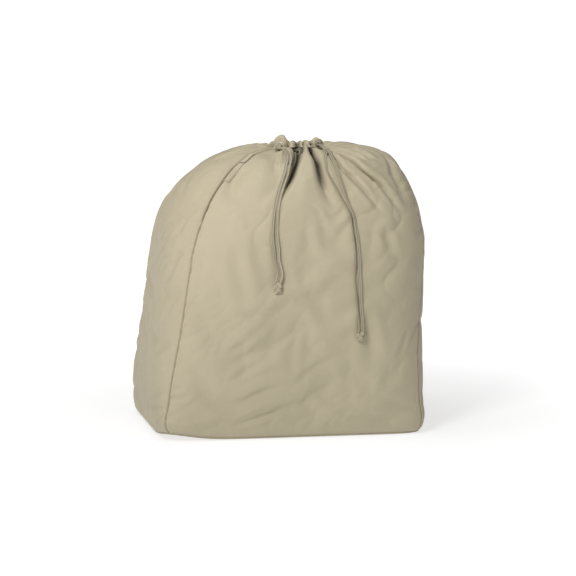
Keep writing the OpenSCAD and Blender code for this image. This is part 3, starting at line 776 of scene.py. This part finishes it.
def strip_section(name, P, w, th, roll, fade_end=True):
    """A cord sewn from a folded fabric strip: soft flat section with the fold's groove along one face."""
    n = len(P)
    T = unit(np.gradient(P, axis=0))
    # outward direction of the bag along the way
    C = P - np.array([5.0, 0.0, 300.0]); C[:, 2] *= 0.9
    out = unit(C - (C * T).sum(-1, keepdims=True) * T)
    U = np.cross(T, out)
    sides = 22
    th_ = np.linspace(0, 2 * np.pi, sides, endpoint=False)
    V, cord_shade = [], []
    for i in range(n):
        u = np.sign(np.cos(th_)) * np.abs(np.cos(th_)) ** 0.86
        v = np.sign(np.sin(th_)) * np.abs(np.sin(th_)) ** 0.8
        wi = w * (1 + 0.06 * math.sin(i * 0.31 + n) + 0.04 * math.sin(i * 0.83))
        x = u * wi / 2
        y = v * th / 2 * (1 + 0.10 * math.sin(i * 0.47 + 2))
        y = y - np.where(v > 0, 0.62 * np.exp(-((x - 0.12 * wi) / 0.62) ** 2), -0.25 * np.exp(-(x / 0.8) ** 2))
        # painted shade: the cord's colour is darkened along its fold groove, over its whole underside against the bag
        # and at its edges
        cord_shade.append(np.maximum(np.where(v > 0, 0.85 * np.exp(-((x - 0.12 * wi) / 0.75) ** 2), 0.55), 0.6 * smooth(0.9, 1.0, np.abs(u))))
        r = roll[i]
        V.append(P[i] + (x * math.cos(r) - y * math.sin(r))[:, None] * U[i] + (x * math.sin(r) + y * math.cos(r))[:, None] * out[i])
    V = np.concatenate(V)
    F = grid_faces(n, sides, close=True)
    V = np.concatenate([V, [P[0], P[-1]]])
    F += [(i, (i + 1) % sides, n * sides)[::-1] for i in range(sides)]
    k = (n - 1) * sides
    F += [(k + i, k + (i + 1) % sides, n * sides + 1) for i in range(sides)]
    return make_mesh(name, V, F, attr={"painted_shade": np.concatenate(cord_shade + [np.zeros(2)])})


def knot_mesh(name, c, nrm, down, seed, size=10.2):
    """Overhand stopper knot with two short cut ends, pressed flat against the bag."""
    g = np.random.default_rng(seed)
    a = np.linspace(0, 2 * np.pi, 97)[:-1]
    x = np.sin(a) + 2 * np.sin(2 * a)
    y = np.cos(a) - 2 * np.cos(2 * a)
    z = -np.sin(3 * a)
    nrm = unit(np.asarray(nrm, float)); down = unit(np.asarray(down, float) - np.dot(down, nrm) * nrm)
    acr = np.cross(nrm, down)
    tilt = math.radians(14 + 10 * g.uniform(-1, 1))
    x, y = x * math.cos(tilt) - y * math.sin(tilt), x * math.sin(tilt) + y * math.cos(tilt)
    Q = c + (x / 3.0 * (size - 3.2))[:, None] * acr + (y / 3.0 * (size - 3.0))[:, None] * down + (z * 2.7)[:, None] * nrm
    Q = np.concatenate([Q, Q[:2]])
    T, U, V = frames_along(Q, nrm)
    parts = []
    k = np.linspace(0, 2 * np.pi * 9, len(Q))
    parts.append(tube(name + "_a", Q, 2.35, 3.45, nrm, sides=14, power=2.3, cap=False,
                      bumps=0.05 * np.sin(k)))
    for sgn in (-1, 1):
        e = [c + acr * sgn * 1.5 + down * 3.5 + nrm * 0.5, c + acr * sgn * 3.0 + down * 8.0 + nrm * 0.9,
             c + acr * sgn * 3.9 + down * 9.8 - nrm * 0.6, c + acr * sgn * (4.4 + g.uniform(0, 1)) + down * (11.6 + g.uniform(-1, 1)) - nrm * 1.8]
        E = spline(np.array(e), 7)
        parts.append(tube(name + "_e%d" % sgn, E, 1.5, np.linspace(3.2, 3.7, len(E)), nrm, sides=12, power=3.0))
    # the wraps filling the middle
    M = spline(np.array([c - down * 7.5 + acr * 2.2, c - down * 2 - acr * 1.2 + nrm * 1.6, c + down * 3 + acr * 1.8 + nrm * 1.2, c + down * 7 - acr * 0.5]), 8)
    parts.append(tube(name + "_m", M, 2.2, 3.3, nrm, sides=14, power=2.4))
    return join_meshes(name, parts)


for tag, deg, start, route, kn, seed in (("left", EXIT_L, LEFT_START, LEFT_ROUTE, (7.3, -.18), 21), ("right", EXIT_R, RIGHT_START, RIGHT_ROUTE, (5.5, .46), 22)):
    kt, ks = kn
    kph = float(phi_of(np.array(kt), 0, ks))
    kb, kn_ = base(np.array([kt]), np.array([kph]))[0], base_normal(np.array([kt]), np.array([kph]))[0]
    centre = kb + kn_ * 8.2
    knot = knot_mesh(tag + "_cord_knot", centre, kn_, (0.06 if tag == "left" else -0.1, 0, -1), seed)
    finish_piece(knot, "cord", tag + "_tail", "drawcord", tag + "_knot")
    for side, ab in ((-1, "a"), (1, "b")):
        P = strand_path(side, deg, start, route, seed * 10 + side)
        n = len(P)
        u = np.linspace(0, 1, n)
        ph0 = {("left", -1): 0.3, ("left", 1): 1.7, ("right", -1): 0.9, ("right", 1): 2.8}[(tag, side)]
        roll = smooth(0.10, 0.22, u) * (0.30 * np.sin(u * 9 + ph0) + 0.16 * np.sin(u * 23 + 2 * ph0)) * (1 - smooth(0.9, 1, u))
        roll = roll + 0.25 * side * smooth(0.12, 0.3, u) * (-1)
        o = strip_section("%s_cord_strand_%s" % (tag, ab), P, CORD_W, CORD_T, roll)
        nodes = ["%s_tail_strand_%s" % (tag, ab)] + (["%s_cord_stub" % tag] if ab == "a" else [])
        o.data.materials.append(MAT["cord"])
        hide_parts(*nodes)
        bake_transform(o)
        L = float(np.linalg.norm(np.diff(P, axis=0), axis=-1).sum()) * MM

# ----------------------------------------------------------------- panels
def rows_of(n, t0, t1):
    """Row positions, closer together on the dome where the folds are fine."""
    tt = np.linspace(t0, t1, 2001)
    p = base(tt, np.full(len(tt), 0.0))
    step = np.linalg.norm(np.diff(p, axis=0), axis=-1)
    wgt = step * (1 + 1.3 * smooth(8.5, 11.5, tt[1:]))
    cum = np.concatenate([[0], np.cumsum(wgt)]); cum /= cum[-1]
    return np.interp(np.linspace(0, 1, n), cum, tt)


T_LOW, T_TOP = 0.32, 19.3


def panel(name, p, nodes, n, m, mat):
    tt = rows_of(n, T_LOW, T_TOP)
    lin = np.linspace(-1, 1, m)
    ss = 0.75 * lin + 0.25 * np.sin(lin * np.pi / 2)
    edge = np.array([0.0009, 0.0022, 0.0042, 0.0068])
    ss = np.sort(np.concatenate([ss[2:-2], [-1, 1], -1 + edge, 1 - edge]))
    Tg, Sg = np.meshgrid(tt, ss, indexing="ij")
    P, N, c = surf(Tg, phi_sewn(Tg, p, Sg))
    # the allowances: side edges and lower edge turn in
    inL, inR = P[:, :1] - N[:, :1] * 5.5, P[:, -1:] - N[:, -1:] * 5.5
    P = np.concatenate([inL, P, inR], 1); c = np.concatenate([c[:, :1], c, c[:, -1:]], 1)
    N = np.concatenate([N[:, :1], N, N[:, -1:]], 1)
    low = P[:1] - N[:1] * 4.5; low[..., 2] += 1.0
    P = np.concatenate([low, P], 0); c = np.concatenate([c[:1], c], 0)
    # painted shade: the fold and seam shade amounts darken the panel's colour
    panel_shade = (smooth(2.0, 19.0, -c)).ravel()
    o = make_mesh(name, P.reshape(-1, 3), grid_faces(P.shape[0], P.shape[1]), attr={"painted_shade": panel_shade})
    finish_piece(o, mat, "root", "bag_fabric", *nodes)
    solidify(o, 0.9)
    return o


QN = 1.0
front = panel("front_panel_cloth", 0, ["front_panel"], int(222 * QN), int(214 * QN), "cloth")
right = panel("right_side_cloth", 1, ["right_side_panel"], int(214 * QN), int(150 * QN), "side")
back = panel("back_panel_cloth", 2, ["back_panel"], int(214 * QN), int(200 * QN), "cloth")
left = panel("left_side_cloth", 3, ["left_side_panel"], int(214 * QN), int(170 * QN), "side")

# bottom panel, wrapping up a few millimetres to its seam with the walls
ph = np.linspace(-180, 180, 361)[:-1]
e_low, n_low, _ = surf(np.full(len(ph), T_LOW), ph)
rings = []
ctr = np.array([-8.0, 0, 0.4])
edge0 = base(np.zeros(len(ph)), ph)
for f in (0.0, 0.25, 0.5, 0.7, 0.85, 0.93, 0.975, 0.99):
    r = ctr + (edge0 - ctr) * f
    r[:, 2] = 0.35 + 0.25 * np.maximum(0, noise(r / 40.0)) * (f < 0.95)
    rings.append(r)
for r in rings:
    r[:, 2] += corner_lift(r)
r = edge0.copy(); r[:, 2] = 1.4 + corner_lift(r); rings.append(r)
r = edge0 * 0.4 + e_low * 0.6; r[:, 2] = 3.2 + corner_lift(r); rings.append(r + n_low * 0.5)
r = e_low.copy(); r[:, 2] -= 0.9; rings.append(r + n_low * 0.9)
rings.append(e_low + n_low * 0.1 + np.array([0, 0, 0.2]))
rings.append(e_low - n_low * 5.0 + np.array([0, 0, 1.2]))
R = np.array(rings)[::-1]
V = R.reshape(-1, 3)
n, m = R.shape[:2]
F = grid_faces(n - 1, m, close=True)
k = (n - 2) * m
V = np.concatenate([V[:(n - 1) * m], [ctr]])
F += [(k + j, k + (j + 1) % m, (n - 1) * m) for j in range(m)]
bottom = make_mesh("bottom_panel_cloth", V, F)
# painted shade: the whole bottom panel, under the bag, gets a little of the fold shade darkening
bottom_shade = bottom.data.attributes.new("painted_shade", "FLOAT", "POINT")
bottom_shade.data.foreach_set("value", [0.15] * len(bottom.data.vertices))
finish_piece(bottom, "side", "root", "bag_fabric", "bottom_panel")


# tape that binds the raw edges inside: four corner seams and the bottom seam
for (nm, k) in (("front_left", 0), ("front_right", 1), ("back_left", 3), ("back_right", 2)):
    pass
for nm, p, s in (("front_left", 0, -1.0), ("front_right", 0, 1.0), ("back_right", 2, -1.0), ("back_left", 2, 1.0)):
    tt = np.linspace(0.7, 18.2, 90)
    P, N, _ = surf(tt, phi_sewn(tt, p, s))
    o = tube(nm + "_seam_tape", P - N * 10.5, 4.6, 1.15, N, sides=12, power=3.2)
    finish_piece(o, "tape", "root", "binding_tape", nm + "_seam_binding")
P = np.concatenate([e_low - n_low * 9.5 + np.array([0, 0, 2.2])] * 1)
P = np.concatenate([P, P[:1]])
o = tube("bottom_seam_tape", P, 4.2, 1.1, np.concatenate([n_low, n_low[:1]]), sides=12, power=3.2, cap=False)
finish_piece(o, "tape", "root", "binding_tape", "bottom_seam_binding")

# ---------------------------------------------------------- gathered casing
VALLEYS = [(-69, 12, 3.4), (-28, 8, 4), (-7, 12, 5.0), (7.5, 7, 3.4), (26, 12, 4.8), (60, 6, 4), (76, 6, 5),
           (90, 6, 5), (108, 7, 5), (122, 6, 5), (140, 7, 5), (155, 6, 4.5), (171, 7, 5), (188, 6, 5), (203, 7, 5), (220, 6, 5),
           (236, 7, 5), (250, 6, 5), (266, 7, 5), (281, 6, 5)]
BUMPS = [(-48.5, 12.5, 15.0, 3.0), (-17, 2.5, 7, 2), (0.5, 2.0, 6, 2), (16, 2.5, 7, 2), (53, 3.4, 5.5, 1.6), (47, 2.2, 9, 3)]
FLATS = [(EXIT_L, 10.0), (EXIT_R, 10.0)]


def wrap(d):
    return (d + 180) % 360 - 180


def ruffle(phi):
    v = np.zeros_like(phi)
    for c, dpt, w in VALLEYS:
        v += dpt * np.exp(-(np.abs(wrap(phi - c)) / w) ** 1.6)
    flat = np.zeros_like(phi)
    for c, w in FLATS:
        flat = np.maximum(flat, np.exp(-(np.abs(wrap(phi - c)) / w) ** 4))
    h = np.zeros_like(phi)
    for c, a, w, pw in BUMPS:
        h += a * np.exp(-np.abs(wrap(phi - c) / w) ** pw)
    return v * (1 - flat), flat, h


def casing(name, a0, a1, nodes, m):
    phi = np.linspace(a0, a1, m)
    v, flat, h = ruffle(phi)
    th = np.radians(phi)
    o_ = np.stack([np.sin(th), -np.cos(th), 0 * th], -1)
    n3 = noise(np.stack([np.cos(th) * 6, np.sin(th) * 6, 0 * th + 2.2], -1))
    backside = smooth(75, 120, np.abs(wrap(phi)))
    dip = mouth_dip(o_ * 54 + np.array([MOUTH_X, 0, 0]))
    top = 614.2 - 0.42 * v + 1.2 * n3 * (1 - flat) + h - dip - 2.5 * backside
    foot = 593.6 - dip + collar_rise(o_ * 57 + np.array([MOUTH_X, 0, 0])) * (1 - flat)
    Ro = 56.0 + (3.0 - 0.95 * v + 1.0 * n3) * (1 - flat) - 0.25 * flat
    Ri = 38.0 + 2.2 * np.sin(th * 9 + 1) + 1.6 * np.sin(th * 17)
    flare = 11.0 * smooth(-34, -16, phi) * (1 - smooth(28, 40, phi)) * np.clip(1 - v / 8, 0, 1) + 4 * smooth(60, 80, np.abs(wrap(phi)))
    prof = []
    # outer wall, bottom to top, then over the rim and down inside
    for f, dr, fl in ((0.0, 4.5, 1), (0.07, 3.2, 1), (0.16, 1.0, 1), (0.28, 0.0, 1), (0.42, 0.9, 1), (0.58, 1.3, 1), (0.72, 0.9, 1), (0.84, -0.8, 1), (0.93, -3.2, .5), (0.985, -6.0, .2), (1.0, -9.0, 0)):
        r = Ro + dr * (1 - flat * fl) + flare * (1 - f) ** 2.6 + 0.22 * np.maximum(h - 3, 0) * math.sin(math.pi * min(1, f * 1.15)) * (1 - flat)
        prof.append(np.array([MOUTH_X, 0, 0]) + o_ * r[:, None] + np.stack([0 * th, 0 * th, foot + (top - foot) * f], -1))
    for f, r_ in ((0.97, 5.0), (0.88, 2.0), (0.72, 0.5), (0.5, 0.0), (0.28, 0.6), (0.1, 1.5), (0.0, 3.0)):
        r = Ri + r_
        prof.append(np.array([MOUTH_X, 0, 0]) + o_ * r[:, None] + np.stack([0 * th, 0 * th, foot + (top - foot - 1.0) * f], -1))
    R = np.array(prof)                      # profile, around, 3
    n, m_ = R.shape[:2]
    V = R.transpose(1, 0, 2).reshape(-1, 3)  # around major
    F = grid_faces(m_, n, close=True, flip=True)
    F.append(tuple(range(n))[::-1]); F.append(tuple((m_ - 1) * n + i for i in range(n)))
    o = make_mesh(name, V, F)
    # painted shade: the valleys between the gathers are darkened in colour by their depth
    gather_shade = o.data.attributes.new("painted_shade", "FLOAT", "POINT")
    gather_shade.data.foreach_set("value", np.repeat(np.clip(v / 14, 0, 1), n).astype(np.float32))
    s = o.modifiers.new("sub", "SUBSURF"); s.levels = 1; s.render_levels = 1
    apply_mods(o)
    finish_piece(o, "cloth", "root", "bag_fabric", *nodes)
    return o


casing("front_casing_gathers", -66, 66, ["front_casing"], 300)
casing("back_casing_gathers", 66, 294, ["back_casing"], 420)


# ------------------------------------------------------------------ stitches
def stitches(name, P, N, pitch=3.4, ln=2.5, rad=0.28, lift=0.25, slot_nodes=(), body="root"):
    """A row of separate stitches along points P, each a short raised thread."""
    d = np.concatenate([[0], np.cumsum(np.linalg.norm(np.diff(P, axis=0), axis=-1))])
    V, F, off = [], [], 0
    k = 0
    while (k + 1) * pitch < d[-1]:
        a, b = k * pitch, k * pitch + ln
        q = np.stack([np.interp(np.linspace(a, b, 5), d, P[:, i]) for i in range(3)], -1)
        nn = unit(np.stack([np.interp(np.linspace(a, b, 5), d, N[:, i]) for i in range(3)], -1))
        h = np.array([-0.35, 0.75, 1.0, 0.75, -0.35]) * lift
        q = q + nn * h[:, None]
        T, U, W = frames_along(q, nn[2])
        r = rad * np.array([0.55, 1, 1.08, 1, 0.55])
        ang = np.linspace(0, 2 * np.pi, 7)[:-1]
        ring = [q[i] + r[i] * (np.cos(ang)[:, None] * U[i] + np.sin(ang)[:, None] * W[i]) for i in range(5)]
        V.append(np.concatenate(ring))
        F += [tuple(off + x for x in f) for f in grid_faces(5, 6, close=True)]
        F.append(tuple(off + i for i in range(6))[::-1]); F.append(tuple(off + 24 + i for i in range(6)))
        off += 30
        k += 1
    o = make_mesh(name, np.concatenate(V), F)
    o.data.materials.append(MAT["thread"])
    if name == "label_border_a":
        bend_at_seam(o)
    else:
        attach(o, body)
    return o


def bend_at_seam(o):
    """The label is sewn along the seam. This finds two points beside the seam and bakes the object's transform into
    its mesh; the label is not turned.
    """
    t = np.array([15.3])
    sp = float(np.linalg.norm(base(t, phi_of(t, 0, -0.90)) - base(t, phi_of(t, 0, -0.99)))) / 0.09
    p0, p1 = (surf(t, phi_of(t, 0, -1.0 + w / sp))[0][0] for w in (2.2, 6.6))
    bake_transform(o)


# facing of the side slit: a strip sewn down beside the front left seam
def strip(name, t0, t1, w0, w1, off, mat, body, slot, node, n=70, m=10, curl=0.0, lift_end=0.0, taper=0.0, thick=0.55):
    tt = np.linspace(t0, t1, n)
    A = base(tt, phi_of(tt, 0, -0.99)); Bp = base(tt, phi_of(tt, 0, -0.90))
    span = np.linalg.norm(Bp - A, axis=-1) / 0.09
    G = []
    cols = np.linspace(w0, w1, m)
    for w in cols:
        s = -1.0 + w / span
        P, N, _ = surf(tt, phi_of(tt, 0, s))
        edge = min(w - w0, w1 - w) / (w1 - w0)
        h = off - curl * math.exp(-(edge / 0.06) ** 2)
        e = np.exp(-((tt - t0) / 0.07) ** 2) * lift_end
        G.append(P + N * (h + e)[:, None])
    R = np.array(G).transpose(1, 0, 2)
    o = make_mesh(name, R.reshape(-1, 3), grid_faces(n, m), attr={"painted_shade": np.zeros(n * m)})
    if body == "label":
        o.data.materials.append(MAT[mat])
        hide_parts(node)
        solidify(o, thick)
        bend_at_seam(o)
    else:
        finish_piece(o, mat, body, slot, *([node] if node else []))
        solidify(o, thick)
    return o


strip("slit_facing_strip", 13.05, 18.6, 1.2, 14.5, 1.5, "cloth", "root", "bag_fabric", "slit_facing", n=110, m=18, curl=0.5, lift_end=0.0, thick=1.1)
tt = np.linspace(13.15, 18.5, 240)
span = np.linalg.norm(base(tt, phi_of(tt, 0, -0.90)) - base(tt, phi_of(tt, 0, -0.99)), axis=-1) / 0.09
for nm, w in (("slit_facing_stitches_inner", 12.8), ("slit_facing_stitches_outer", 3.0)):
    P, N, _ = surf(tt, phi_of(tt, 0, -1.0 + w / span))
    stitches(nm, P + N * 1.5, N)
# bar tack across the strip's lower end
q = []
rows_ = 15
for k in range(rows_):
    t = 13.0 + 0.16 * k / (rows_ - 1)
    for w in ((2.5, 13.5) if k % 2 == 0 else (13.5, 2.5)):
        sp = float(np.linalg.norm(base(np.array([t]), phi_of(np.array([t]), 0, -0.90)) - base(np.array([t]), phi_of(np.array([t]), 0, -0.99)))) / 0.09
        P, N, _ = surf(np.array([t]), phi_of(np.array([t]), 0, -1.0 + w / sp))
        q.append(P[0] + N[0] * 1.8)
o = tube("bar_tack_stitching", spline(np.array(q), 4), 0.32, 0.32, (0.1, 0.2, 1), sides=8, power=2)
finish_piece(o, "thread", "root", "thread", "bar_tack")

# blank woven label, sewn at its upper end, with a plain woven border
lab = strip("blank_woven_label", 14.6, 16.0, 1.6, 14.6, 3.1, "label", "label", "label_weave", "woven_label", n=60, m=16, lift_end=1.6, thick=0.7)
tl = np.linspace(14.66, 15.95, 80)
spl = np.linalg.norm(base(tl, phi_of(tl, 0, -0.90)) - base(tl, phi_of(tl, 0, -0.99)), axis=-1) / 0.09
for nm, w in (("label_border_a", 2.9), ("label_border_b", 13.3)):
    P, N, _ = surf(tl, phi_of(tl, 0, -1.0 + w / spl))
    e = np.exp(-((tl - 14.6) / 0.07) ** 2) * 1.6
    stitches(nm, P + N * (3.1 + e)[:, None], N, pitch=1.3, ln=1.15, rad=0.22, lift=0.15, body="label")

# topstitch round the foot of the casing
phs = np.linspace(-64, 290, 700)
v_, fl_, h_ = ruffle(phs)
thr = np.radians(phs)
n3_ = noise(np.stack([np.cos(thr) * 6, np.sin(thr) * 6, 0 * thr + 2.2], -1))
Ro_ = 56.0 + (3.0 - 0.95 * v_ + 1.0 * n3_) * (1 - fl_) - 0.25 * fl_ + 0.6 * (1 - fl_)
Nn = np.stack([np.sin(thr), -np.cos(thr), 0 * thr], -1)
stitches("casing_stitches", np.array([MOUTH_X, 0, 0]) + Nn * (Ro_ + 0.3)[:, None] + np.stack([0 * thr, 0 * thr, 597.4 - mouth_dip(Nn * 54 + np.array([MOUTH_X, 0, 0]))], -1), Nn, pitch=3.2, ln=2.4)

# ---------------------------------------------------- carried-over CAD nodes
for n_ in ("left_eyelet", "right_eyelet", "left_eyelet_washer", "right_eyelet_washer"):
    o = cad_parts[n_]
    for i in range(max(1, len(o.material_slots))):
        if o.material_slots:
            o.material_slots[i].material = MAT["metal"]
        else:
            o.data.materials.append(MAT["metal"])
for nm, deg, z in (("left_drawcord_gathered", EXIT_L, 600.0), ("right_drawcord_gathered", EXIT_R, 608.0)):
    a = np.radians(np.linspace(0, 360, 145))
    Q = np.stack([MOUTH_X + 46 * np.sin(a), -46 * np.cos(a), z + 0 * a], -1)
    Q[:, 2] -= mouth_dip(Q)
    Q[:, 2] = np.maximum(Q[:, 2], 581.5 + (z - 600) * 0.9)
    o = tube(nm, Q, 3.1, 1.7, (0, 0, 1), sides=12, power=2.6, cap=False)
    finish_piece(o, "cord", "root", "drawcord", "left_drawcord_loop" if "left" in nm else "right_drawcord_loop")
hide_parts("right_cord_stub")

# -------------------------------------------------------------- stage, light
bpy.ops.mesh.primitive_plane_add(size=60, location=(0, 0, -0.0006))
floor = bpy.context.object
floor.name = "floor"
fm = bpy.data.materials.new("floor_paper")
fm.use_nodes = True
fb = fm.node_tree.nodes["Principled BSDF"]
fb.inputs["Base Color"].default_value = (0.38, 0.38, 0.38, 1)
fb.inputs["Roughness"].default_value = 0.75
fb.inputs["Specular IOR Level"].default_value = 0.1
fb.inputs["Emission Color"].default_value = (1, 1, 1, 1)
fn, fl_n = fm.node_tree.nodes, fm.node_tree.links
ftc = fn.new("ShaderNodeTexCoord"); fvl = fn.new("ShaderNodeVectorMath"); fvl.operation = "LENGTH"
fl_n.new(ftc.outputs["Object"], fvl.inputs[0])
fmr = fn.new("ShaderNodeMapRange"); fmr.interpolation_type = "SMOOTHSTEP"
fmr.inputs["From Min"].default_value, fmr.inputs["From Max"].default_value = 0.34, 1.2
fmr.inputs["To Min"].default_value, fmr.inputs["To Max"].default_value = 0.68, 1.0
fl_n.new(fvl.outputs["Value"], fmr.inputs["Value"]); fl_n.new(fmr.outputs[0], fb.inputs["Emission Strength"])
floor.data.materials.append(fm)

world = bpy.data.worlds.new("studio")
world.use_nodes = True
bg = world.node_tree.nodes["Background"]
bg.inputs[0].default_value = (1, 1, 1, 1)
bg.inputs[1].default_value = 0.16
wn, wl = world.node_tree.nodes, world.node_tree.links
seen = wn.new("ShaderNodeBackground"); seen.inputs[0].default_value = (1, 1, 1, 1); seen.inputs[1].default_value = 1.0
lp = wn.new("ShaderNodeLightPath"); mx = wn.new("ShaderNodeMixShader")
wl.new(lp.outputs["Is Camera Ray"], mx.inputs[0]); wl.new(bg.outputs[0], mx.inputs[1]); wl.new(seen.outputs[0], mx.inputs[2])
wl.new(mx.outputs[0], wn["World Output"].inputs[0])
bpy.context.scene.world = world


def area_light(name, loc, target, size, power, color=(1, 1, 1)):
    d = bpy.data.lights.new(name, "AREA")
    d.shape = "RECTANGLE"; d.size, d.size_y = size
    d.energy = power; d.color = color
    o = bpy.data.objects.new(name, d)
    bpy.context.scene.collection.objects.link(o)
    o.location = loc
    o.rotation_mode = "QUATERNION"
    o.rotation_quaternion = (Vector(target) - Vector(loc)).to_track_quat("-Z", "Y")
    return o


area_light("key", (-1.12, -1.82, 1.98), (0, 0, 0.42), (0.7, 0.7), 42.4)
area_light("top", (-0.1, -0.1, 2.3), (0, 0, 0.4), (1.0, 1.0), 14)
area_light("left", (-2.3, -0.5, 1.0), (0, 0, 0.35), (1.2, 1.2), 6.5)
bpy.context.scene.view_settings.view_transform = "Standard"
